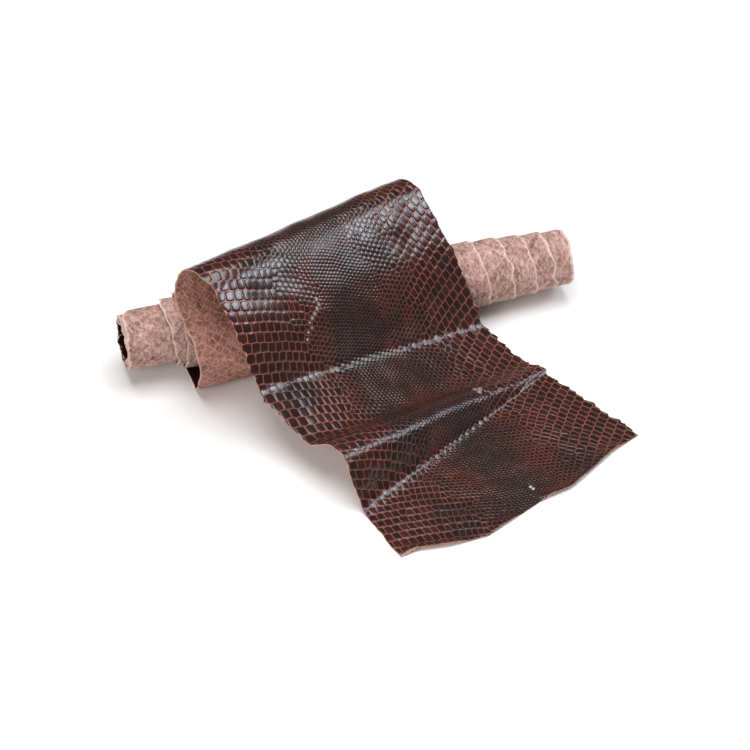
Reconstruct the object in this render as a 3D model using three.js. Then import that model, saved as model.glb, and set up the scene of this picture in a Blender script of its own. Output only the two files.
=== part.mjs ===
import * as THREE from "three";

// A tanned python skin, rolled up with its flesh side out. Its last stretch rises in front
// of the roll, folds back over it and runs out in waves onto the floor, scale side up.
// Millimetres, +Z up. The roll lies along X and the free end points towards -Y.

const THICKNESS = 0.7;
const MID_HEIGHT = THICKNESS / 2; // of the middle of the leather where it lies on the floor

// The roll, a loose spiral that is wound tighter at its right end.
const ROLL_CENTRE_X = -29.94; // where the middle of the strip leaves the roll
const ROLL_Y = 91.18;
const ROLL_RADIUS_LEFT = 27;
const ROLL_RADIUS_RIGHT = 26.5;
const ROLL_TURNS = 7.2;
const LOOSE_TURNS = 3; // the outer turns, which stand further apart at the left end
const LOOSE_PITCH_LEFT = 2.9;
const TIGHT_PITCH_LEFT = 1.1;
const PITCH_RIGHT = 1.1;
const STEPS_PER_TURN = 24;

// The hide widens from turn to turn towards its middle, so the roll's ends are stepped. The
// reaches are its widths to both sides, half a turn apart, from the outside of the roll inwards.
const HALF_WIDTH = 86; // of the strip where it leaves the roll
const LEFT_REACHES = [86, 88, 89, 99, 92, 126, 126, 126, 126, 126, 126, 126, 126, 126, 126, 126];
const RIGHT_REACHES = [86, 88, 93, 102, 108, 118, 125, 136, 143, 152, 160, 167, 172, 182, 186, 186];
const LEFT_END = -126; // of the roll, from the middle of the strip
const RIGHT_END = 186;
const FREE_END_FLARE = 0.06;

// The bends of the strip from the roll to its free end. Each bend runs between two straight
// lines across the leather: left and right are its lengths along the two edges in mm, and turn
// is its angle in degrees, positive towards the scale side. A wave gathers its turn in its
// middle and an arc spreads it evenly.
const BENDS = [
  { name: "under the roll", left: 20, right: 14, turn: 0, steps: 2, wave: false },
  { name: "off the floor", left: 25, right: 21, turn: 60, steps: 6, wave: false },
  { name: "up the front", left: 19, right: 7, turn: 10, steps: 2, wave: false },
  { name: "back over the roll", left: 26, right: 28, turn: 76, steps: 7, wave: false },
  { name: "along its top", left: 7, right: 60, turn: 25, steps: 4, wave: false },
  { name: "fold", left: 83, right: 57, turn: -211, steps: 18, wave: false },
  { name: "fall", left: 60, right: 91, turn: -23, steps: 5, wave: false },
  { name: "crease under the fall", left: 21, right: 17, turn: 44, steps: 6, wave: true },
  { name: "first wave", left: 33, right: 23, turn: 9, steps: 4, wave: false },
  { name: "valley", left: 10, right: 18, turn: 40, steps: 6, wave: true },
  { name: "second wave", left: 47, right: 10, turn: -88, steps: 10, wave: true },
  { name: "onto the floor", left: 40, right: 5, turn: 58, steps: 8, wave: true },
  { name: "flat end", left: 20, right: 80, turn: 0, steps: 5, wave: false },
];
const SETTLE_BENDS = 2; // the last bends, over which the leather is pressed onto the floor
const EASED_BENDS = 4; // the last bends, where the waves die down towards the right edge
const EASED_SHARE = 0.5;
const EASED_FROM = 0.5; // of the way across, from the left edge

// How far the free end reaches past its two corners, from the left corner to the right one.
const END_BULGE = [2, 13, 19, 16, 13, 15, 9, 3, 0];
const END_STEPS = 3;
const CORNER_FLARE = 7; // the left corner of the free end spreads this far out
const CORNER_FLARE_START = 372; // along the left edge

const COLUMNS = 8; // divisions across the strip
const EDGE_WAVE = 0.35; // the cut edges wander by this much
const EDGE_WAVE_LENGTHS = [23, 37];

const X_AXIS = new THREE.Vector3(1, 0, 0);

const radians = THREE.MathUtils.degToRad;
const lerp = THREE.MathUtils.lerp;

function edgeWander(along, side) {
  const [short, long] = EDGE_WAVE_LENGTHS;
  const shortWave = Math.sin(along / short * 2 * Math.PI + side);
  const longWave = Math.sin(along / long * 2 * Math.PI);
  return EDGE_WAVE * (shortWave + longWave);
}

// A cross line of the leather: its two ends, the normal on the flesh side, and the shares to
// which it is pressed onto the floor and its waves are eased at the right.
function crossLine(left, right, normal) {
  return { left, right, normal, settle: 0, ease: 0 };
}

function rollRadius(turns, s) {
  const share = (s - LEFT_END) / (RIGHT_END - LEFT_END);
  const looseTurns = Math.min(turns, LOOSE_TURNS);
  const tightTurns = turns - looseTurns;
  const left = ROLL_RADIUS_LEFT - LOOSE_PITCH_LEFT * looseTurns - TIGHT_PITCH_LEFT * tightTurns;
  const right = ROLL_RADIUS_RIGHT - PITCH_RIGHT * turns;
  return lerp(left, right, share);
}

function rollPoint(turns, s) {
  const angle = -2 * Math.PI * turns;
  const radius = rollRadius(turns, s) - MID_HEIGHT;
  const axisHeight = rollRadius(0, s);
  return new THREE.Vector3(
    ROLL_CENTRE_X + s,
    ROLL_Y - radius * Math.sin(angle),
    axisHeight - radius * Math.cos(angle),
  );
}

function reachAt(reaches, turns) {
  const place = turns * 2;
  const before = Math.floor(place);
  return lerp(reaches[before], reaches[before + 1], place - before);
}

function rollLines() {
  const lines = [];
  const count = Math.round(ROLL_TURNS * STEPS_PER_TURN);
  for (let i = count; i > 0; i -= 1) {
    const turns = i / STEPS_PER_TURN;
    const along = turns * 2 * Math.PI * ROLL_RADIUS_LEFT;
    const left = rollPoint(turns, -reachAt(LEFT_REACHES, turns) - edgeWander(along, 0));
    const right = rollPoint(turns, reachAt(RIGHT_REACHES, turns) + edgeWander(along, 1));
    const angle = -2 * Math.PI * turns;
    const normal = new THREE.Vector3(0, -Math.sin(angle), -Math.cos(angle));
    lines.push(crossLine(left, right, normal));
  }
  return lines;
}

function turnShares(steps, wave) {
  const shares = [];
  for (let i = 0; i < steps; i += 1) {
    shares.push(wave ? 1 - Math.cos(2 * Math.PI * (i + 0.5) / steps) : 1);
  }
  const sum = shares.reduce((a, b) => a + b, 0);
  return shares.map((share) => share / sum);
}

function stripLength() {
  return BENDS.reduce((sum, bend) => sum + bend.left, 0);
}

function halfWidthAt(along) {
  const half = stripLength() / 2;
  return HALF_WIDTH * (1 + FREE_END_FLARE * Math.max(0, (along - half) / half));
}

function cornerFlare(along) {
  return CORNER_FLARE * THREE.MathUtils.smoothstep(along, CORNER_FLARE_START, stripLength());
}

// How far the last bends have set in after a step of one of them, from 0 to 1.
function shareOfLast(bends, index, step) {
  const first = BENDS.length - bends;
  if (index < first) return 0;
  if (index > first) return 1;
  return THREE.MathUtils.smoothstep((step + 1) / BENDS[index].steps, 0, 1);
}

// The strip is bent about one cross line after the other, so it never stretches.
function stripLines() {
  const origin = new THREE.Vector3(ROLL_CENTRE_X, ROLL_Y, MID_HEIGHT);
  const across = X_AXIS.clone();
  const ahead = new THREE.Vector3(0, -1, 0);
  const normal = new THREE.Vector3(0, 0, -1);
  let alongLeft = 0;
  let alongRight = 0;
  const onStrip = (along, side, wander) => {
    const width = side * (halfWidthAt(along) + wander);
    return origin.clone().addScaledVector(ahead, along).addScaledVector(across, width);
  };
  const lines = [];
  const addLine = (settle, ease) => {
    const left = onStrip(alongLeft, -1, edgeWander(-alongLeft, 0) + cornerFlare(alongLeft));
    const right = onStrip(alongRight, 1, edgeWander(-alongRight, 1));
    lines.push({ ...crossLine(left, right, normal.clone()), settle, ease, ahead: ahead.clone() });
  };
  addLine(0, 0);
  BENDS.forEach((bend, index) => {
    turnShares(bend.steps, bend.wave).forEach((share, step) => {
      const halfLeft = bend.left / bend.steps / 2;
      const halfRight = bend.right / bend.steps / 2;
      alongLeft += halfLeft;
      alongRight += halfRight;
      const pivot = onStrip(alongLeft, -1, 0);
      const axis = pivot.clone().sub(onStrip(alongRight, 1, 0)).normalize();
      const bending = new THREE.Quaternion().setFromAxisAngle(axis, radians(bend.turn * share));
      origin.sub(pivot).applyQuaternion(bending).add(pivot);
      for (const direction of [across, ahead, normal]) direction.applyQuaternion(bending);
      alongLeft += halfLeft;
      alongRight += halfRight;
      addLine(shareOfLast(SETTLE_BENDS, index, step), shareOfLast(EASED_BENDS, index, step));
    });
  });
  return lines;
}

// Rows of points through the middle of the leather, each with its flesh side normals.
function skinRows() {
  const rows = [];
  const addRow = (line, reach) => {
    const row = [];
    for (let j = 0; j <= COLUMNS; j += 1) {
      const point = line.left.clone().lerp(line.right, j / COLUMNS);
      if (reach > 0) point.addScaledVector(line.ahead, END_BULGE[j] * reach);
      const ease = EASED_SHARE * line.ease * THREE.MathUtils.smoothstep(j / COLUMNS, EASED_FROM, 1);
      const floorShare = 1 - (1 - line.settle) * (1 - ease);
      point.z = lerp(Math.max(point.z, MID_HEIGHT), MID_HEIGHT, floorShare);
      const down = new THREE.Vector3(0, 0, -1);
      row.push({ point, normal: line.normal.clone().lerp(down, floorShare).normalize() });
    }
    rows.push(row);
  };
  for (const line of rollLines()) addRow(line, 0);
  const strip = stripLines();
  for (const line of strip) addRow(line, 0);
  const last = strip[strip.length - 1];
  last.ahead.setZ(0);
  for (let k = 1; k <= END_STEPS; k += 1) addRow(last, k / END_STEPS);
  return rows;
}

// The rows thickened to both sides and closed along all four edges.
function skinGeometry(rows) {
  const positions = [];
  for (const side of [1, -1]) {
    for (const row of rows) {
      for (const { point, normal } of row) {
        positions.push(...point.clone().addScaledVector(normal, side * THICKNESS / 2).toArray());
      }
    }
  }
  const sideOffset = rows.length * (COLUMNS + 1);
  const at = (i, j, side) => i * (COLUMNS + 1) + j + (side > 0 ? 0 : sideOffset);
  const triangles = [];
  const quad = (a, b, c, d) => triangles.push(a, b, c, a, c, d);
  const lastRow = rows.length - 1;
  for (let i = 0; i < lastRow; i += 1) {
    for (let j = 0; j < COLUMNS; j += 1) {
      quad(at(i, j, 1), at(i, j + 1, 1), at(i + 1, j + 1, 1), at(i + 1, j, 1));
      quad(at(i, j, -1), at(i + 1, j, -1), at(i + 1, j + 1, -1), at(i, j + 1, -1));
    }
    quad(at(i, 0, 1), at(i + 1, 0, 1), at(i + 1, 0, -1), at(i, 0, -1));
    quad(at(i, COLUMNS, 1), at(i, COLUMNS, -1), at(i + 1, COLUMNS, -1), at(i + 1, COLUMNS, 1));
  }
  for (let j = 0; j < COLUMNS; j += 1) {
    quad(at(0, j, 1), at(0, j, -1), at(0, j + 1, -1), at(0, j + 1, 1));
    quad(at(lastRow, j, 1), at(lastRow, j + 1, 1), at(lastRow, j + 1, -1), at(lastRow, j, -1));
  }
  const geometry = new THREE.BufferGeometry();
  geometry.setAttribute("position", new THREE.Float32BufferAttribute(positions, 3));
  geometry.setIndex(triangles);
  geometry.computeVertexNormals();
  return geometry;
}

const leather = new THREE.MeshStandardMaterial({ color: 0x3a1f1a, roughness: 0.38, metalness: 0 });
const skin = new THREE.Mesh(skinGeometry(skinRows()), leather);
skin.name = "python_skin";

// The origin is the middle of the part's box, on the floor.
const box = new THREE.Box3().setFromObject(skin);
const middle = box.getCenter(new THREE.Vector3());
skin.position.set(-middle.x, -middle.y, -box.min.z);

const root = new THREE.Group();
root.name = "tanned_python_skin";
root.add(skin);

export default root;
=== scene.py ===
import math

import bmesh
import bpy
import numpy as np
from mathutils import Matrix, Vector, geometry


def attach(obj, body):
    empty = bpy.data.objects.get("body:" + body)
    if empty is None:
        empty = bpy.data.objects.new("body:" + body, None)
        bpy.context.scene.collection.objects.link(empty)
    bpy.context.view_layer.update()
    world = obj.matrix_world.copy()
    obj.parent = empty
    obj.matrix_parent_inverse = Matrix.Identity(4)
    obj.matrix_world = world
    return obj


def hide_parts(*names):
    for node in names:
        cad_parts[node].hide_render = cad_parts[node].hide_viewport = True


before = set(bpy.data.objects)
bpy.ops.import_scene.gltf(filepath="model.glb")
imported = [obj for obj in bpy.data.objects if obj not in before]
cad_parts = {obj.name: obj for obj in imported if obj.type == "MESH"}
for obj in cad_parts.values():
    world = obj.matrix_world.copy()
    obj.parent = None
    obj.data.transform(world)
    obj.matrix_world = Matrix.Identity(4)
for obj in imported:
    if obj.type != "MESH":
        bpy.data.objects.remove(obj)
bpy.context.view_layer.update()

MM = 0.001

# The same strip as the solid's, in millimetres: a roll along X with the free end towards -Y.
THICKNESS = 0.7
MID_HEIGHT = THICKNESS / 2
HALF_WIDTH = 86
FREE_END_FLARE = 0.06

ROLL_X = -29.94
ROLL_Y = 91.18
ROLL_RADIUS_LEFT = 27
ROLL_RADIUS_RIGHT = 26.5
ROLL_TURNS = 7.2
LOOSE_TURNS = 3
LOOSE_PITCH_LEFT = 2.9
TIGHT_PITCH_LEFT = 1.1
PITCH_RIGHT = 1.1
# The roll's widths to both sides of the strip's middle, half a turn apart.
LEFT_REACHES = [86, 88, 89, 99, 92, 126, 126, 126, 126, 126, 126, 126, 126, 126, 126, 126]
RIGHT_REACHES = [86, 88, 93, 102, 108, 118, 125, 136, 143, 152, 160, 167, 172, 182, 183, 168]
LEFT_END = -126
RIGHT_END = 186

# Each bend: length along the left edge, along the right edge, turn in degrees, steps, and
# whether the turn gathers in the middle.
BENDS = [
    (20, 14, 0, 6, False),
    (25, 21, 60, 12, False),
    (19, 7, 10, 6, False),
    (26, 28, 76, 14, False),
    (7, 60, 25, 10, False),
    (83, 57, -211, 36, False),
    (60, 91, -23, 12, False),
    (21, 17, 44, 12, True),
    (33, 23, 9, 8, False),
    (10, 18, 40, 10, True),
    (47, 10, -88, 20, True),
    (40, 5, 58, 16, True),
    (20, 80, 0, 10, False),
]
FOLD_BEND = 4  # the scale side is modelled scale by scale from the start of this bend
SETTLE_BEND = 11  # within this bend the strip comes to lie flat on the floor
EASED_BEND = 9  # from here on the waves die down towards the right edge
EASED_SHARE = 0.5
EASED_FROM = 0.5
STRIP_LENGTH = sum(bend[0] for bend in BENDS)
FOLD_LINE = sum(bend[3] for bend in BENDS[:FOLD_BEND])

# The free end: how far it bulges past the last cross line, evenly spaced from left to right.
END_BULGE = [2, 13, 19, 16, 13, 15, 9, 3, 0]
END_CURL = 2.6
END_CURL_LENGTH = 9
CORNER_FLARE = 7
CORNER_FLARE_START = 372

# The cut edges: a slow wander, a fine unevenness and the teeth where rows of scales end.
EDGE_WAVE = 0.35
EDGE_WAVE_LENGTHS = (23, 37)
TOOTH_LENGTH = 7.5
TOOTH_DEPTH = 2.1
LEFT_TEETH_GROW = (180, 215)
LEFT_TEETH_FADE = (290, 330)
RIGHT_TEETH_GROW = (215, 265)
ROLL_RIPPLE = 0.16

STEPS_PER_TURN = 40
END_STEPS = 6
FLESH_COLUMNS = 40
PLAIN_COLUMNS = 20  # across the hidden stretch of the scale side
PLAIN_STEP = 2  # cross lines to each row of that stretch

SEEDS = {
    "left edge": 11,
    "right edge": 12,
    "left teeth": 14,
    "left tooth places": 15,
    "right teeth": 16,
    "right tooth places": 17,
    "unevenness": 21,
    "fine unevenness": 22,
    "free end": 31,
    "torn edge": 41,
    "fine torn edge": 42,
    "roll ripple": 51,
    "blotches": 61,
    "fine blotches": 62,
    "scale places": 5,
    "scale heights": 8,
}


def smoothstep(low, high, x):
    t = np.clip((x - low) / (high - low), 0, 1)
    return t * t * (3 - 2 * t)


def waves(name, x, y, length, count=9):
    """Smooth seeded noise of about -1 to 1: plane waves of about one length."""
    rng = np.random.default_rng(SEEDS[name])
    total = 0 * (x + y)
    for _ in range(count):
        heading = rng.uniform(0, 2 * math.pi)
        size = 2 * math.pi / (length * rng.uniform(0.7, 1.5))
        phase = rng.uniform(0, 2 * math.pi)
        total = total + np.sin(size * (x * math.cos(heading) + y * math.sin(heading)) + phase)
    return total * 1.2 / math.sqrt(count)


def waves_along(name, x, length):
    return waves(name, x, 0 * x, length)


def rotation(axis, angle):
    x, y, z = axis
    k = np.array([[0, -z, y], [z, 0, -x], [-y, x, 0]])
    return np.eye(3) + math.sin(angle) * k + (1 - math.cos(angle)) * k @ k


def half_width(along):
    half = STRIP_LENGTH / 2
    return HALF_WIDTH * (1 + FREE_END_FLARE * np.maximum(0, (along - half) / half))


def across_share(x, v):
    """How far across the strip a place is, 0 at the left edge to 1 at the right."""
    return (v / half_width(x) + 1) / 2


def bend_lines():
    """Cross lines of the strip: ends, flesh side normal, heading, lengths and how settled."""
    origin = np.array([ROLL_X, ROLL_Y, MID_HEIGHT])
    across = np.array([1.0, 0, 0])
    ahead = np.array([0, -1.0, 0])
    normal = np.array([0, 0, -1.0])
    left_at = right_at = 0.0
    lines = []

    def end_of(along, side):
        return origin + along * ahead + side * half_width(along) * across

    def add(settle, ease):
        left, right = end_of(left_at, -1), end_of(right_at, 1)
        lines.append((left, right, normal, ahead, left_at, right_at, settle, ease))

    def share_of(first, index, step, steps):
        return float(smoothstep(0, 1, (index > first) + (index == first) * (step + 1) / steps))

    add(0.0, 0.0)
    for index, (left, right, turn, steps, gathered) in enumerate(BENDS):
        places = (np.arange(steps) + 0.5) / steps
        shares = 1 - np.cos(2 * math.pi * places) if gathered else np.ones(steps)
        shares = shares / shares.sum()
        for k in range(steps):
            left_at += left / steps / 2
            right_at += right / steps / 2
            pivot = end_of(left_at, -1)
            axis = pivot - end_of(right_at, 1)
            turned = rotation(axis / np.linalg.norm(axis), math.radians(turn * shares[k]))
            origin = pivot + turned @ (origin - pivot)
            across, ahead, normal = turned @ across, turned @ ahead, turned @ normal
            left_at += left / steps / 2
            right_at += right / steps / 2
            add(share_of(SETTLE_BEND, index, k, steps), share_of(EASED_BEND, index, k, steps))
    return [np.array(column) for column in zip(*lines)]


LEFT, RIGHT, NORMAL, AHEAD, LEFT_AT, RIGHT_AT, SETTLE, EASE = bend_lines()
LAST_LINE = len(LEFT_AT) - 1


def on_line(line, f):
    """How far along the strip a cross line lies, f of the way across."""
    return LEFT_AT[line] + (RIGHT_AT[line] - LEFT_AT[line]) * f


def end_bulge(f):
    return np.interp(f, np.linspace(0, 1, len(END_BULGE)), END_BULGE)


def end_line(f):
    return on_line(LAST_LINE, f) + end_bulge(f)


def edge_wander(x, phase):
    slow, slower = EDGE_WAVE_LENGTHS
    return EDGE_WAVE * (np.sin(x / slow * 2 * math.pi + phase) + np.sin(x / slower * 2 * math.pi))


def edge_left(x):
    """The left cut edge's way off the straight, outwards positive; x in mm along the edge."""
    flare = CORNER_FLARE * smoothstep(CORNER_FLARE_START, STRIP_LENGTH, x)
    return edge_wander(x, 0) + flare + EDGE_WAVE * waves_along("left edge", x, 11)


def edge_right(x):
    return edge_wander(x, 1) + EDGE_WAVE * waves_along("right edge", x, 10)


def teeth_left(x):
    """The ends of the scale rows, which stand out past the left edge as rounded teeth."""
    fade_start, fade_end = LEFT_TEETH_FADE
    strong = smoothstep(*LEFT_TEETH_GROW, x) * smoothstep(fade_end, fade_start, x)
    size = 0.35 + TOOTH_DEPTH * strong * (0.7 + 0.5 * waves_along("left teeth", x, 15))
    place = math.pi * x / TOOTH_LENGTH + 0.4 * waves_along("left tooth places", x, 25)
    return size * (np.abs(np.sin(place)) - 0.5)


def teeth_right(x):
    """The row ends on the right, saw teeth that point away from the roll."""
    strong = smoothstep(*RIGHT_TEETH_GROW, x)
    size = 0.4 + TOOTH_DEPTH * strong * (0.7 + 0.4 * waves_along("right teeth", x, 15))
    place = x / TOOTH_LENGTH + 0.2 * waves_along("right tooth places", x, 25)
    return size * ((place - np.floor(place)) ** 1.3 - 0.4)


def line_place(x, f):
    """The cross line, as a fractional number, through the point x along and f across."""
    x, f = np.broadcast_arrays(np.asarray(x, float), np.asarray(f, float))
    places = np.empty(x.shape)
    chunk = 20000
    for start in range(0, x.size, chunk):
        part = slice(start, start + chunk)
        along = LEFT_AT[:, None] + (RIGHT_AT - LEFT_AT)[:, None] * f.ravel()[None, part]
        wanted = x.ravel()[part]
        below = np.clip((along <= wanted[None]).sum(0) - 1, 0, LAST_LINE - 1)
        pick = np.arange(len(wanted))
        low, high = along[below, pick], along[below + 1, pick]
        places.ravel()[part] = below + (wanted - low) / (high - low)
    return places


def unevenness(x, v):
    """Gentle unevenness of the leather, towards its scale side."""
    calm = smoothstep(0, 60, x)
    return calm * (0.35 * waves("unevenness", x, v, 60) + 0.14 * waves("fine unevenness", x, v, 22))


def strip_points(x, v):
    """Middle of the leather and its flesh side normal at x along and v across, in mm."""
    f = across_share(x, v)
    place = np.minimum(line_place(x, f), LAST_LINE)
    low = np.clip(np.floor(place).astype(int), 0, LAST_LINE - 1)
    t = place - low

    def between(values):
        share = t if values.ndim == 1 else t[..., None]
        return values[low] * (1 - share) + values[low + 1] * share

    g = f[..., None]
    past_last_line = np.maximum(0, x - on_line(LAST_LINE, f))
    on_floor = AHEAD[-1] * np.array([1, 1, 0])
    points = between(LEFT) * (1 - g) + between(RIGHT) * g + past_last_line[..., None] * on_floor
    eased = EASED_SHARE * between(EASE) * smoothstep(EASED_FROM, 1, f)
    settle = 1 - (1 - between(SETTLE)) * (1 - eased)
    down = np.array([0, 0, -1.0])
    normals = between(NORMAL) * (1 - settle[..., None]) + down * settle[..., None]
    normals = normals / np.linalg.norm(normals, axis=-1, keepdims=True)
    points[..., 2] = np.maximum(points[..., 2], MID_HEIGHT) * (1 - settle) + MID_HEIGHT * settle
    rise = unevenness(x, v)
    rise = rise * (1 - settle) + np.abs(rise) * 0.5 * settle
    curled = smoothstep(0.15, 0.75, 0.5 + 0.7 * waves_along("free end", v, 55))
    curl = END_CURL * smoothstep(END_CURL_LENGTH, 0, end_line(f) - x) * curled
    points = points - (rise + curl)[..., None] * normals
    points[..., 2] = np.maximum(points[..., 2], MID_HEIGHT)
    return points, normals


def roll_radius(turns, s):
    share = (s - LEFT_END) / (RIGHT_END - LEFT_END)
    loose = np.minimum(turns, LOOSE_TURNS)
    left = ROLL_RADIUS_LEFT - LOOSE_PITCH_LEFT * loose - TIGHT_PITCH_LEFT * (turns - loose)
    right = ROLL_RADIUS_RIGHT - PITCH_RIGHT * turns
    return left * (1 - share) + right * share


def roll_ends(turns):
    """Where the roll's left and right cut edges lie, from the middle of the strip."""
    along = turns * 2 * math.pi * ROLL_RADIUS_LEFT
    half_turns = np.arange(len(LEFT_REACHES))
    left = -np.interp(turns * 2, half_turns, LEFT_REACHES)
    right = np.interp(turns * 2, half_turns, RIGHT_REACHES)
    torn = 0.6 * waves_along("torn edge", along, 14) + 0.5 * waves_along("fine torn edge", along, 8)
    return left - edge_left(-along) * 0.4 - torn, right + edge_right(-along) * 0.4 + torn


def roll_points(turns, s):
    angle = -2 * math.pi * turns
    ripple = ROLL_RIPPLE * waves("roll ripple", s, turns * 150, 30) * smoothstep(0, 0.15, turns)
    radius = roll_radius(turns, s) - MID_HEIGHT + ripple
    axis = roll_radius(0, s)
    outwards = np.stack([0 * s, -np.sin(angle) + 0 * s, -np.cos(angle) + 0 * s], -1)
    points = np.stack([ROLL_X + s, ROLL_Y + 0 * s, axis], -1) + radius[..., None] * outwards
    return points, outwards


# The skin's mesh. Each point knows its place on the flat skin and what the materials need.
SCALES, FLESH, EDGE = 0, 1, 2
FACTS = ("along", "across", "groove", "tone", "blotch", "size", "rolled", "pale", "rim")


class Shell:
    """Points and faces of the one closed skin, gathered part by part."""

    def __init__(self):
        self.points = []
        self.facts = []
        self.faces = []
        self.sides = []

    def add_points(self, points, **facts):
        start = len(self.points)
        count = len(points)
        self.points.extend(points)
        columns = [np.broadcast_to(facts.get(name, 0.0), count) for name in FACTS]
        self.facts.extend(np.stack(columns, -1))
        return np.arange(start, start + count)

    def add_face(self, corners, side):
        self.faces.append(tuple(int(c) for c in corners))
        self.sides.append(side)

    def add_grid(self, rows, side):
        for low, high in zip(rows[:-1], rows[1:]):
            for j in range(len(low) - 1):
                self.add_face((low[j], low[j + 1], high[j + 1], high[j]), side)

    def zip_up(self, a, a_at, b, b_at, side):
        """A band of triangles between two chains of points that run the same way."""
        i = j = 0
        while i < len(a) - 1 or j < len(b) - 1:
            step_a = j == len(b) - 1 or (i < len(a) - 1 and a_at[i + 1] <= b_at[j + 1])
            if step_a:
                self.add_face((a[i], a[i + 1], b[j]), side)
                i += 1
            else:
                self.add_face((a[i], b[j + 1], b[j]), side)
                j += 1


class Rows:
    """Rows of points across the skin, with the place of each row's ends along both edges."""

    def __init__(self, columns):
        self.f = np.linspace(0, 1, columns + 1)
        self.rim = np.where((self.f == 0) | (self.f == 1), 1.0, 0.0)
        self.rows = []
        self.left_at = []
        self.right_at = []

    def add(self, row, left_at, right_at):
        self.rows.append(row)
        self.left_at.append(left_at)
        self.right_at.append(right_at)

    def edge(self, column):
        return [row[column] for row in self.rows]


def side_rows(shell, columns, step, outward, last_line):
    """Rows of one face, from the roll's inner end to a cross line of the strip."""
    side = Rows(columns)
    f = side.f
    for i in range(round(ROLL_TURNS * STEPS_PER_TURN), 0, -step):
        turns = i / STEPS_PER_TURN
        left, right = roll_ends(np.array(turns))
        s = left * (1 - f) + right * f
        points, normals = roll_points(turns, s)
        along = -turns * 2 * math.pi * (ROLL_RADIUS_LEFT - turns)
        place = points + outward * THICKNESS / 2 * normals
        row = shell.add_points(place, along=along, across=s, rolled=1.0, rim=side.rim)
        side.add(row, along, along)
    for i in range(0, last_line + 1, step):
        left_x, right_x = LEFT_AT[i], RIGHT_AT[i]
        left_v = -half_width(left_x) - edge_left(left_x)
        right_v = half_width(right_x) + edge_right(right_x)
        v = left_v * (1 - f) + right_v * f
        # x follows v along the line, past the strip's straight sides as well
        g = (v + half_width(left_x)) / (half_width(left_x) + half_width(right_x))
        x = left_x * (1 - g) + right_x * g
        points, normals = strip_points(x, v)
        place = points + outward * THICKNESS / 2 * normals
        rolled = smoothstep(40, 0, x)
        row = shell.add_points(place, along=x, across=v, rolled=rolled, rim=side.rim)
        side.add(row, x[0], x[-1])
    return side


def flesh_rows(shell):
    """The whole flesh side, out to the free end."""
    side = side_rows(shell, FLESH_COLUMNS, 1, 1, LAST_LINE)
    for k in range(1, END_STEPS + 1):
        x = on_line(LAST_LINE, side.f) + end_bulge(side.f) * k / END_STEPS
        v = (2 * side.f - 1) * half_width(x)
        v[0] -= edge_left(x[0])
        v[-1] += edge_right(x[-1])
        points, normals = strip_points(x, v)
        row = shell.add_points(points + THICKNESS / 2 * normals, along=x, across=v)
        # a little further each time, so that the rows' order holds where the bulge is nil
        side.add(row, x[0] + 1e-3 * k, x[-1] + 1e-3 * k)
    return side


# The scales, as cells on the flat skin: narrow columns along the spine and wide ones towards
# the edges. Of each three slanting rows along the spine two reach the flanks, and of those one
# reaches the edge.
SPINE_COLUMN = 2.2
EDGE_COLUMNS = {-1: (6.8, 4.6), 1: (5.6, 4.2)}  # left and right, in the fold and at the free end
NARROWING_START = 290
NARROWING_END = 380
COLUMN_GROWTH = 1.8
ROW = 2.5
FORKS = {-1: (9, 15), 1: (9, 17)}  # the columns where rows end, on the left and the right
FORK_SPREAD = 2
SPINE_SLANT = 0.5
FLANK_SLANT = 0.8
ROWS_AT = 60
FIRST_ROW = -15
LAST_ROW = 210
SCALES_START = 50
SCALES_END = 480
SCATTER = 0.04  # of the room each scale has
FLATTENED = (0.3, 0.5)  # how far groove corners move onto one line: along the spine, and more beyond
CORNER_STEP = 2.6
EDGE_STEP = 1.2
BORDER_MARGIN = 12
CLIP_REACH = 16  # past this far from a border no scale is cut by it
SAME_PLACE = 0.02

FOLD_BORDER, END_BORDER, LEFT_BORDER, RIGHT_BORDER = range(4)


def column_places(edge_column):
    places = [0.0]
    while places[-1] < HALF_WIDTH + 20:
        share = min(1, (places[-1] + 2) / HALF_WIDTH)
        growth = (edge_column - SPINE_COLUMN) * share ** COLUMN_GROWTH
        places.append(places[-1] + SPINE_COLUMN + growth)
    return places


def row_bend(b, k, first, second):
    """The row's shift, in rows, and its share of the room, k columns out from the spine."""
    spread = 1 if k <= first else 1.5 if k <= second else 3
    # after the first fork the two rows that go on share the room of three
    shift = (0, 0.25, -0.25)[b % 3] * (1 - spread) / 0.5 * (k <= second)
    return shift, spread


def scale_sites():
    """The scales' middles on the flat skin, with the number of the row each one stands in."""
    rng = np.random.default_rng(SEEDS["scale places"])
    sites, rows = [], []
    for side, edge_columns in EDGE_COLUMNS.items():
        wide_places, narrow_places = (column_places(column) for column in edge_columns)
        missing = len(narrow_places) - len(wide_places)
        wide_places += [wide_places[-1] + edge_columns[0]] * missing
        for b in range(FIRST_ROW, LAST_ROW):
            moves = [int(rng.integers(-FORK_SPREAD, FORK_SPREAD + 1)) for _ in FORKS[side]]
            first, second = (fork + move for fork, move in zip(FORKS[side], moves))
            end = (first, len(narrow_places), second)[b % 3]
            slant = 0.0
            for k, (wide_v, narrow_v) in enumerate(zip(wide_places, narrow_places)):
                if k > end:
                    break
                shift, spread = row_bend(b, k, first, second)
                row = b + shift
                x = ROWS_AT + (row - slant) * ROW + rng.normal(0, SCATTER) * spread * ROW
                narrowing = float(smoothstep(NARROWING_START, NARROWING_END, x))
                v = wide_v + (narrow_v - wide_v) * narrowing
                x += 1.6 * math.sin(v / 31 + 0.4) + 1.2 * math.sin(b / 9)
                if SCALES_START < x < SCALES_END and (k or side < 0):
                    sites.append((x, side * v + rng.normal(0, SCATTER) * SPINE_COLUMN))
                    rows.append(row)
                slant += SPINE_SLANT if k < FORKS[side][0] else FLANK_SLANT
    return np.array(sites), np.array(rows)


def left_reach(x):
    return float(half_width(x) + edge_left(np.array(x)) + teeth_left(np.array(x)))


def right_reach(x):
    return float(half_width(x) + edge_right(np.array(x)) + teeth_right(np.array(x)))


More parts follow.
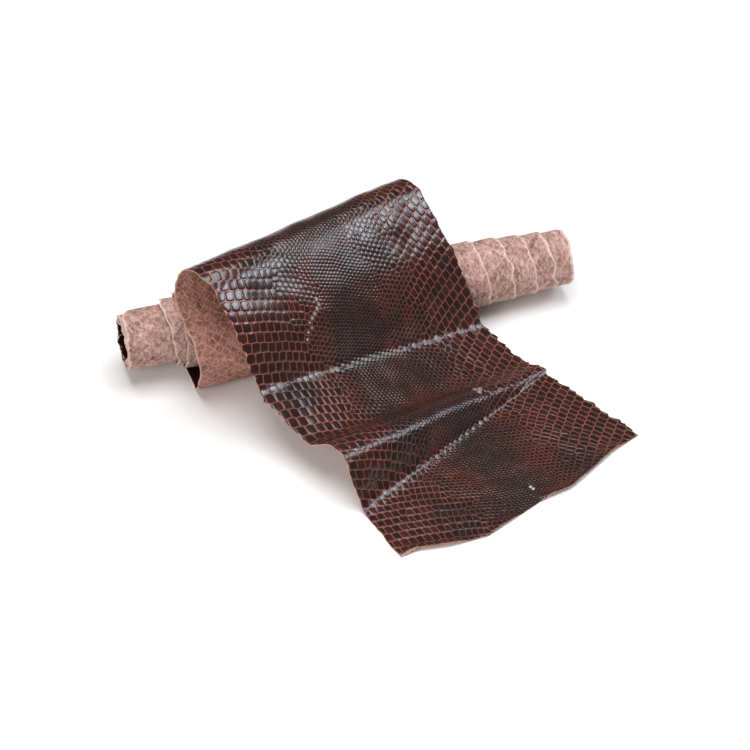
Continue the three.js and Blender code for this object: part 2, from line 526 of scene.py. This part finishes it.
# For each border, how far inside it a place is.
INSIDE = {
    FOLD_BORDER: lambda x, v: x - on_line(FOLD_LINE, across_share(x, v)),
    END_BORDER: lambda x, v: float(end_line(across_share(x, v))) - x,
    LEFT_BORDER: lambda x, v: v + left_reach(x),
    RIGHT_BORDER: lambda x, v: right_reach(x) - v,
}


def with_teeth(polygon):
    """The polygon with more corners where it runs along a cut edge, so it shows the teeth."""
    fuller = []
    for i, here in enumerate(polygon):
        fuller.append(here)
        there = polygon[(i + 1) % len(polygon)]
        for border, side, reach in ((LEFT_BORDER, -1, left_reach), (RIGHT_BORDER, 1, right_reach)):
            if border in here[2] & there[2]:
                parts = max(1, round(abs(there[0] - here[0]) / EDGE_STEP))
                for k in range(1, parts):
                    x = here[0] + (there[0] - here[0]) * k / parts
                    fuller.append((x, side * reach(x), {border}))
    return fuller


def clip(polygon, border):
    """The part of a polygon inside a border. Each corner names the borders it lies on."""
    values = [INSIDE[border](x, v) for x, v, _ in polygon]
    if min(values) >= 0:
        return polygon
    if max(values) <= 0:
        return []
    kept = []
    for i, here in enumerate(polygon):
        j = (i + 1) % len(polygon)
        there = polygon[j]
        if values[i] >= 0:
            kept.append(here)
        if (values[i] >= 0) != (values[j] >= 0):
            # from the lower corner up, so that both scales at a groove find the same place
            low, high = sorted([(here[:2], values[i]), (there[:2], values[j])])
            t = low[1] / (low[1] - high[1])
            x = low[0][0] + (high[0][0] - low[0][0]) * t
            v = low[0][1] + (high[0][1] - low[0][1]) * t
            kept.append((x, v, (here[2] & there[2]) | {border}))
    return kept


def groove_corners(sites, rows):
    """For each scale, the places where its groove meets two others."""
    _, _, triangles, *_ = geometry.delaunay_2d_cdt([Vector(p) for p in sites], [], [], 0, 1e-6)
    around = [[] for _ in sites]
    for triangle in triangles:
        corners = list(triangle)
        x, v = sites[corners].mean(0)
        # moved halfway between the rows it parts, so the rows run on in unbroken lines
        between = (rows[corners].min() + rows[corners].max()) / 2 - rows[corners].mean()
        x += between * ROW * (FLATTENED[0] + FLATTENED[1] * smoothstep(22, 45, abs(v)))
        for corner in corners:
            around[corner].append((float(x), float(v)))
    return around


def with_steps(corners):
    """The closed outline through the corners, with more corners along its long sides."""
    polygon = []
    for a, b in zip(corners, corners[1:] + corners[:1]):
        parts = max(1, math.ceil(math.hypot(b[0] - a[0], b[1] - a[1]) / CORNER_STEP))
        low, high = sorted([a, b])
        for i in range(parts):
            t = (i if a == low else parts - i) / parts
            x = low[0] + (high[0] - low[0]) * t
            v = low[1] + (high[1] - low[1]) * t
            polygon.append((x, v, set()))
    return polygon


def scale_cells():
    """Each scale's middle, size and outline on the flat skin, cut off at the skin's borders."""
    sites, rows = scale_sites()
    cells = []
    for (x, v), corners in zip(sites, groove_corners(sites, rows)):
        fold, end = INSIDE[FOLD_BORDER](x, v), INSIDE[END_BORDER](x, v)
        if len(corners) < 3 or min(half_width(x) - abs(v), fold, end) < -BORDER_MARGIN:
            continue
        corners.sort(key=lambda c: math.atan2(c[1] - v, c[0] - x))
        reach = sum(math.hypot(cx - x, cv - v) for cx, cv in corners) / len(corners)
        polygon = with_steps(corners)
        for border, inside in INSIDE.items():
            if polygon and inside(x, v) < CLIP_REACH:
                polygon = clip(polygon, border)
        if len(polygon) > 2:
            cells.append(((x, v), 2 * reach, with_teeth(polygon)))
    return cells


# Small damage on the scale side: place along and across, reach, height of the scales and how pale they
# are. Two nail holes and a lifted flap by a tear.
MARKS = [
    (421, 4.4, 1.8, -0.3, 1.0),
    (345, -86.5, 1.6, -0.2, 0.6),
    (333, 35, 3.2, 0.9, 0.25),
    (338, 38, 2.6, -0.4, 0.0),
]
PALEST_RING = 0.25  # round a mark's middle
# A row of painted glints along the spine: pale scale middles that stand in for light caught there.
# Where the row starts and ends, how many glints, and how pale.
GLINTS_FROM = (217, -23)
GLINTS_TO = (234, -40)
GLINTS = 10
GLINT_PALE = 0.6

# The raised scales, from the finest to the widest.
FINE_SIZE = 2.8
WIDE_SIZE = 7.3
FINE_HEIGHT = 0.07
WIDE_HEIGHT = 0.24
FINE_GROOVE = 0.22
WIDE_GROOVE = 0.62
TWO_RINGS_FROM = 0.3


def mark_at(x, v):
    for mark_x, mark_v, reach, height, pale in MARKS:
        if math.hypot(x - mark_x, v - mark_v) < reach:
            return height, pale
    return None


def glint_cells(cells):
    """The numbers of the cells nearest to the row of painted glints."""
    middles = np.array([site for site, _, _ in cells])
    row = np.linspace(GLINTS_FROM, GLINTS_TO, GLINTS)
    return {int(np.hypot(*(middles - point).T).argmin()) for point in row}


def blotch_at(x, v):
    """How dark the skin's pattern is: 0 red with bright grooves to 1 nearly black."""
    dark = 0.74 - 0.72 * (np.abs(v) / HALF_WIDTH) ** 1.2
    cloud = 0.26 * waves("blotches", x, v * 1.3, 56) + 0.12 * waves("fine blotches", x, v, 17)
    return smoothstep(0.15, 0.85, dark + cloud)


def shared_corners(cells):
    """The corners that the cells share, the cells as corner numbers, and the borders' corners."""
    numbers = {}
    places = []
    outlines = []
    borders = {border: {} for border in INSIDE}
    for _, _, polygon in cells:
        outline = []
        for x, v, on_borders in polygon:
            key = (round(x / SAME_PLACE), round(v / SAME_PLACE))
            if key not in numbers:
                numbers[key] = len(places)
                places.append((x, v))
            number = numbers[key]
            if not outline or outline[-1] != number:
                outline.append(number)
            for border in on_borders:
                borders[border][number] = (x, v)
        if len(outline) > 1 and outline[0] == outline[-1]:
            outline.pop()
        outlines.append(outline)
    return np.array(places), outlines, borders


def add_scales(shell, cells, places, outlines, base):
    """Each scale, raised above its groove in one or two rings round its middle."""
    rng = np.random.default_rng(SEEDS["scale heights"])
    glinting = glint_cells(cells)
    tops = []
    scales = []
    for cell, outline in enumerate(outlines):
        if len(set(outline)) < 3:
            continue
        size = cells[cell][1]
        xs, vs = places[outline, 0], places[outline, 1]
        x, v = xs.mean(), vs.mean()
        reach = np.hypot(xs - x, vs - v)
        wide = min(1.0, max(0.0, (size - FINE_SIZE) / (WIDE_SIZE - FINE_SIZE)))
        groove = FINE_GROOVE + (WIDE_GROOVE - FINE_GROOVE) * wide
        height = (FINE_HEIGHT + (WIDE_HEIGHT - FINE_HEIGHT) * wide) * rng.uniform(0.85, 1.15)
        tone = rng.uniform(0, 1)
        height, pale = mark_at(x, v) or (height, 0.0)
        blotch = float(blotch_at(x, v))
        rounded = np.minimum(reach, 1.04 * reach.mean())
        near = np.clip((rounded - groove) / np.maximum(reach, 0.05), 0.3, 0.88)
        rings = ((near, 0.85), (near * 0.75, 1.0)) if wide > TWO_RINGS_FROM else ((near, 0.9),)
        scales.append((outline, len(tops), len(rings)))
        for share, lift in rings:
            for ring_x, ring_v in zip(x + (xs - x) * share, v + (vs - v) * share):
                facts = (tone, blotch, wide, min(pale, PALEST_RING))
                tops.append((ring_x, ring_v, height * lift, *facts))
        # painted glints: the middles of the cells along the row are made pale
        pale = GLINT_PALE if cell in glinting else pale
        tops.append((x, v, height * 1.04, tone, blotch, wide, pale))
    x, v, height, tone, blotch, size, pale = np.array(tops).T
    points, normals = strip_points(x, v)
    place = points - (THICKNESS / 2 + height)[:, None] * normals
    top = shell.add_points(place, along=x, across=v, tone=tone, blotch=blotch, size=size, pale=pale)
    for outline, start, ring_count in scales:
        count = len(outline)
        loops = [base[outline]]
        for k in range(ring_count):
            loops.append(top[start + k * count:start + (k + 1) * count])
        centre = top[start + ring_count * count]
        for i in range(count):
            j = (i + 1) % count
            for outer, inner in zip(loops[:-1], loops[1:]):
                shell.add_face((outer[i], outer[j], inner[j], inner[i]), SCALES)
            shell.add_face((loops[-1][i], loops[-1][j], centre), SCALES)


def build_skin():
    shell = Shell()
    flesh = flesh_rows(shell)
    shell.add_grid(flesh.rows, FLESH)
    plain = side_rows(shell, PLAIN_COLUMNS, PLAIN_STEP, -1, FOLD_LINE - PLAIN_STEP)
    shell.add_grid(plain.rows, SCALES)

    cells = scale_cells()
    places, outlines, borders = shared_corners(cells)
    x, v = places.T
    points, normals = strip_points(x, v)
    base_place = points - THICKNESS / 2 * normals
    base = shell.add_points(base_place, along=x, across=v, groove=1.0, blotch=blotch_at(x, v))
    add_scales(shell, cells, places, outlines, base)

    def chain(border, by):
        """A border's corners in order, with their places along it."""
        items = sorted(borders[border].items(), key=lambda item: item[1][by])
        return [base[number] for number, _ in items], [place[by] for _, place in items]

    plain_across = (2 * plain.f - 1) * half_width(LEFT_AT[FOLD_LINE])
    shell.zip_up(plain.rows[-1], plain_across, *chain(FOLD_BORDER, 1), SCALES)
    flesh_across = (2 * flesh.f - 1) * half_width(RIGHT_AT[-1])
    shell.zip_up(flesh.rows[-1], flesh_across, *chain(END_BORDER, 1), EDGE)
    shell.zip_up(flesh.rows[0], flesh.f, plain.rows[0], plain.f, EDGE)
    left, left_at = chain(LEFT_BORDER, 0)
    right, right_at = chain(RIGHT_BORDER, 0)
    left, left_at = plain.edge(0) + left, plain.left_at + left_at
    right, right_at = plain.edge(-1) + right, plain.right_at + right_at
    shell.zip_up(flesh.edge(0), flesh.left_at, left, left_at, EDGE)
    shell.zip_up(flesh.edge(-1), flesh.right_at, right, right_at, EDGE)
    return shell


def add_facts(mesh, shell):
    facts = dict(zip(FACTS, np.array(shell.facts).T))
    for name, values in facts.items():
        attribute = mesh.attributes.new(name, "FLOAT", "POINT")
        attribute.data.foreach_set("value", values.astype(np.float32))
    # the place on the flat skin in centimetres, set apart scale by scale
    places = np.stack([facts["along"], facts["across"], facts["tone"] * 40], -1) / 10
    attribute = mesh.attributes.new("flat_place", "FLOAT_VECTOR", "POINT")
    attribute.data.foreach_set("vector", places.astype(np.float32).ravel())


def make_object(shell):
    mesh = bpy.data.meshes.new("python_skin")
    mesh.from_pydata([tuple(p * MM) for p in shell.points], [], shell.faces)
    mesh.validate()
    add_facts(mesh, shell)
    mesh.polygons.foreach_set("material_index", shell.sides)
    work = bmesh.new()
    work.from_mesh(mesh)
    # slivers left where a scale crosses the cut edge twice
    gaps = [edge for edge in work.edges if edge.is_boundary]
    for face in bmesh.ops.holes_fill(work, edges=gaps, sides=0)["faces"]:
        face.material_index = EDGE
    bmesh.ops.recalc_face_normals(work, faces=work.faces)
    for edge in work.edges:
        edge.smooth = len({face.material_index for face in edge.link_faces}) == 1
    work.to_mesh(mesh)
    work.free()
    mesh.shade_smooth()
    skin = bpy.data.objects.new("rolled_python_skin", mesh)
    bpy.context.scene.collection.objects.link(skin)
    return skin


# Colours from black red to the brightest, at places along a ramp.
SCALE_BLACK = ((0, (0.009, 0.0042, 0.0036)), (0.7, (0.014, 0.006, 0.005)), (1, (0.022, 0.009, 0.0072)))
SCALE_RED = ((0, (0.018, 0.0042, 0.003)), (0.7, (0.03, 0.0065, 0.0042)), (1, (0.046, 0.0095, 0.0062)))
GROOVE_DULL = ((0.3, (0.06, 0.014, 0.009)), (0.7, (0.13, 0.033, 0.021)))
GROOVE_BRIGHT = ((0.3, (0.24, 0.054, 0.031)), (0.7, (0.46, 0.13, 0.077)))
FINE_GROOVE_SHADE = (0.55, 0.5, 0.5, 1)
# pale marks: bare leather at the holes and the flap, and the painted glints along the spine
BARE_LEATHER_AND_GLINT = (0.72, 0.68, 0.64, 1)
FLESH_LIGHT = (0.55, 0.33, 0.275)
FLESH_DARK = (0.2, 0.095, 0.074)
CUT_LIGHT = (0.62, 0.42, 0.35)
CUT_DARK = (0.35, 0.19, 0.15)
NETWORK_COLOUR = (0.68, 0.45, 0.38, 1)
# painted highlight: pale streaks where light catches the roll's wrinkles
STREAK_HIGHLIGHT_COLOUR = (0.66, 0.46, 0.41, 1)
# painted highlight along the cut edges of the layers
RIM_HIGHLIGHT_COLOUR = (0.8, 0.6, 0.53, 1)
UNROLLED_SHADE = (0.9, 0.74, 0.68)
WHITE = (1.0, 1.0, 1.0)
BLACK = (0, 0, 0, 1)
NETWORK_TURN = 42


def new_material(name):
    material = bpy.data.materials.new(name)
    material.use_nodes = True
    tree = material.node_tree
    return material, tree, tree.nodes["Principled BSDF"]


def fact(tree, name, output="Fac"):
    node = tree.nodes.new("ShaderNodeAttribute")
    node.attribute_name = name
    return node.outputs[output]


def mix(tree, kind, factor, a, b):
    node = tree.nodes.new("ShaderNodeMix")
    node.data_type = "RGBA"
    node.blend_type = kind
    for socket, value in ((node.inputs[0], factor), (node.inputs[6], a), (node.inputs[7], b)):
        if hasattr(value, "is_output"):
            tree.links.new(value, socket)
        else:
            socket.default_value = value
    return node.outputs[2]


def ramp(tree, value, *stops):
    """Colours, or greys given as one number, over a value from 0 to 1."""
    node = tree.nodes.new("ShaderNodeValToRGB")
    elements = node.color_ramp.elements
    while len(elements) < len(stops):
        elements.new(0.5)
    for element, (at, colour) in zip(elements, stops):
        element.position = at
        element.color = (*colour, 1) if isinstance(colour, tuple) else (colour, colour, colour, 1)
    tree.links.new(value, node.inputs["Fac"])
    return node.outputs["Color"]


def flat_place(tree, stretch=(1, 1, 1), turn=0):
    """The place on the flat skin in centimetres, stretched or turned."""
    node = tree.nodes.new("ShaderNodeMapping")
    node.inputs["Scale"].default_value = stretch
    node.inputs["Rotation"].default_value = (0, 0, math.radians(turn))
    tree.links.new(fact(tree, "flat_place", "Vector"), node.inputs["Vector"])
    return node.outputs["Vector"]


def noise(tree, scale, detail, stretch=(1, 1, 1), roughness=0.5):
    """Noise over the flat skin, with a scale in waves to the centimetre."""
    node = tree.nodes.new("ShaderNodeTexNoise")
    node.inputs["Scale"].default_value = scale
    node.inputs["Detail"].default_value = detail
    node.inputs["Roughness"].default_value = roughness
    tree.links.new(flat_place(tree, stretch), node.inputs["Vector"])
    return node.outputs["Fac"]


def cell_edges(tree, scale, randomness, turn):
    """The distance to the nearest line of a slanting network over the flat skin."""
    node = tree.nodes.new("ShaderNodeTexVoronoi")
    node.feature = "DISTANCE_TO_EDGE"
    node.inputs["Scale"].default_value = scale
    node.inputs["Randomness"].default_value = randomness
    tree.links.new(flat_place(tree, turn=turn), node.inputs["Vector"])
    return node.outputs["Distance"]


def add_bump(tree, shader, height, strength, distance):
    bump = tree.nodes.new("ShaderNodeBump")
    bump.inputs["Strength"].default_value = strength
    bump.inputs["Distance"].default_value = distance
    tree.links.new(height, bump.inputs["Height"])
    tree.links.new(bump.outputs["Normal"], shader.inputs["Normal"])


def scale_material():
    """Glazed dark scales between copper red grooves."""
    material, tree, shader = new_material("scale_side")
    tone, blotch, groove, size = (fact(tree, name) for name in ("tone", "blotch", "groove", "size"))
    cloud = noise(tree, 3, 4)
    scale = mix(tree, "MIX", blotch, ramp(tree, tone, *SCALE_RED), ramp(tree, tone, *SCALE_BLACK))
    scale = mix(tree, "MULTIPLY", 0.7, scale, ramp(tree, cloud, (0.3, 0.55), (0.7, 1.5)))
    wide_line = ramp(tree, cloud, *GROOVE_BRIGHT)
    fine_line = mix(tree, "MULTIPLY", 1.0, wide_line, FINE_GROOVE_SHADE)
    lines = mix(tree, "MIX", ramp(tree, size, (0.1, 0.0), (0.7, 1.0)), fine_line, wide_line)
    lines = mix(tree, "MIX", blotch, lines, ramp(tree, cloud, *GROOVE_DULL))
    colour = mix(tree, "MIX", ramp(tree, groove, (0.42, 0.0), (0.75, 1.0)), scale, lines)
    # pale marks: bare leather at the holes and the flap, and painted glints along the spine
    colour = mix(tree, "MIX", fact(tree, "pale"), colour, BARE_LEATHER_AND_GLINT)
    tree.links.new(colour, shader.inputs["Base Color"])
    tree.links.new(ramp(tree, groove, (0.3, 0.2), (0.8, 0.55)), shader.inputs["Roughness"])
    add_bump(tree, shader, noise(tree, 14, 3), 0.07, 0.0003)
    shader.inputs["Specular IOR Level"].default_value = 0.5
    shader.inputs["Coat Weight"].default_value = 0.4
    shader.inputs["Coat Roughness"].default_value = 0.1
    return material


def flesh_network(tree, rolled):
    """Pale lines where the scales of the other side end, broken up and weaker in the roll."""
    lines = ramp(tree, cell_edges(tree, 2.0, 0.35, NETWORK_TURN), (0.02, 0.9), (0.13, 0.0))
    weaker = ramp(tree, rolled, (0.3, 0.0), (0.7, 0.45))
    lines = mix(tree, "MULTIPLY", weaker, lines, BLACK)
    broken = ramp(tree, noise(tree, 3, 2), (0.35, 0.3), (0.55, 1.0))
    return mix(tree, "MULTIPLY", 1.0, lines, broken)


def flesh_material(name, light, dark):
    """Cloudy pink suede with pale lines and specks, painted highlight streaks that are stronger in the
    roll, and a painted highlight along the cut edges.
    """
    material, tree, shader = new_material(name)
    rolled = fact(tree, "rolled")
    cloud = noise(tree, 1.1, 6, roughness=0.68)
    colour = ramp(tree, cloud, (0.36, dark), (0.64, light))
    network = flesh_network(tree, rolled)
    colour = mix(tree, "MIX", network, colour, NETWORK_COLOUR)
    # painted highlights: pale crosswise streaks where light catches the wrinkles, stronger in the roll
    highlight_streaks = noise(tree, 1, 4, stretch=(1.6, 4.5, 1), roughness=0.65)
    in_roll = ramp(tree, rolled, (0.3, 0.2), (0.7, 0.6))
    pale = mix(tree, "MULTIPLY", 1.0, ramp(tree, highlight_streaks, (0.48, 0.0), (0.66, 1.0)), in_roll)
    colour = mix(tree, "MIX", pale, colour, STREAK_HIGHLIGHT_COLOUR)
    fine = noise(tree, 4, 5, roughness=0.7)
    specks = ramp(tree, fine, (0.36, 0.45), (0.5, 1.0), (0.66, 1.25))
    colour = mix(tree, "MULTIPLY", 0.9, colour, specks)
    # painted highlight: a pale, broken line along the cut edges, where light catches the edges of the
    # roll's layers
    ragged = mix(tree, "ADD", 0.35, fact(tree, "rim"), noise(tree, 4, 3))
    edge = ramp(tree, ragged, (0.92, 0.0), (1.0, 0.6))
    colour = mix(tree, "MIX", edge, colour, RIM_HIGHLIGHT_COLOUR)
    shade = ramp(tree, rolled, (0.3, UNROLLED_SHADE), (0.7, WHITE))
    colour = mix(tree, "MULTIPLY", 1.0, colour, shade)
    tree.links.new(colour, shader.inputs["Base Color"])
    height = mix(tree, "ADD", 0.6, ramp(tree, cloud, (0.3, 0.0), (0.7, 0.7)), network)
    add_bump(tree, shader, height, 0.8, 0.0008)
    shader.inputs["Roughness"].default_value = 0.75
    shader.inputs["Specular IOR Level"].default_value = 0.3
    return material


skin = make_object(build_skin())
for material in (
    scale_material(),
    flesh_material("flesh_side", FLESH_LIGHT, FLESH_DARK),
    flesh_material("cut_edge", CUT_LIGHT, CUT_DARK),
):
    skin.data.materials.append(material)

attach(skin, "root")
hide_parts("python_skin")

# The studio, in metres: a pale floor, soft light from above and from the front left, and two
# small bluish lights at the right that draw the sheen along the waves' crests.
FLOOR_SIZE = 8
FLOOR_COLOUR = (0.93, 0.93, 0.93, 1)
WORLD_STRENGTH = 0.15
# Each light: place, the point it faces, size, power and colour.
LIGHTS = {
    "right": ((1.15, -0.44, 1.3), (0, 0, 0.03), (0.34, 0.34), 4.2, (0.86, 0.92, 1.0)),
    "side": ((1.5, -0.08, 1.3), (0, 0, 0.03), (0.5, 0.85), 6.5, (0.78, 0.87, 1.0)),
    "overhead": ((0.0, 0.1, 1.5), (0, 0, 0), (1.2, 1.2), 22, (1.0, 1.0, 1.0)),
    "front_left": ((-1.3, -1.2, 1.0), (0, 0, 0), (1.2, 1.2), 20, (1.0, 0.97, 0.93)),
}
CAMERA_AZIMUTH = math.radians(17.5)
CAMERA_ELEVATION = math.radians(40)
CAMERA_DISTANCE = 1.7
CAMERA_AIM = Vector((-0.00594, 0.01768, 0.020))
CAMERA_SENSOR = 36
CAMERA_LENS = 125.664


def add_floor():
    bpy.ops.mesh.primitive_plane_add(size=FLOOR_SIZE)
    floor = bpy.context.object
    floor.name = "studio_floor"
    material, _, shader = new_material("studio_floor")
    shader.inputs["Base Color"].default_value = FLOOR_COLOUR
    shader.inputs["Roughness"].default_value = 0.9
    floor.data.materials.append(material)


def facing(direction):
    return direction.to_track_quat("-Z", "Y").to_euler()


def add_light(name, place, aim, size, power, colour):
    data = bpy.data.lights.new(name, "AREA")
    data.shape = "RECTANGLE"
    data.size, data.size_y = size
    data.energy = power
    data.color = colour
    light = bpy.data.objects.new(name, data)
    light.location = place
    light.rotation_euler = facing(Vector(aim) - Vector(place))
    bpy.context.scene.collection.objects.link(light)


def add_world():
    world = bpy.data.worlds.new("studio")
    world.use_nodes = True
    background = world.node_tree.nodes["Background"]
    background.inputs["Color"].default_value = (1, 1, 1, 1)
    background.inputs["Strength"].default_value = WORLD_STRENGTH
    bpy.context.scene.world = world
    bpy.context.scene.view_settings.view_transform = "Standard"


def add_camera():
    view = Vector((
        math.sin(CAMERA_AZIMUTH) * math.cos(CAMERA_ELEVATION),
        math.cos(CAMERA_AZIMUTH) * math.cos(CAMERA_ELEVATION),
        -math.sin(CAMERA_ELEVATION),
    ))
    data = bpy.data.cameras.new("camera")
    data.sensor_width = CAMERA_SENSOR
    data.lens = CAMERA_LENS
    camera = bpy.data.objects.new("camera", data)
    camera.location = CAMERA_AIM - view * CAMERA_DISTANCE
    camera.rotation_euler = facing(view)
    bpy.context.scene.collection.objects.link(camera)
    bpy.context.scene.camera = camera


add_floor()
for name, settings in LIGHTS.items():
    add_light(name, *settings)
add_world()
add_camera()
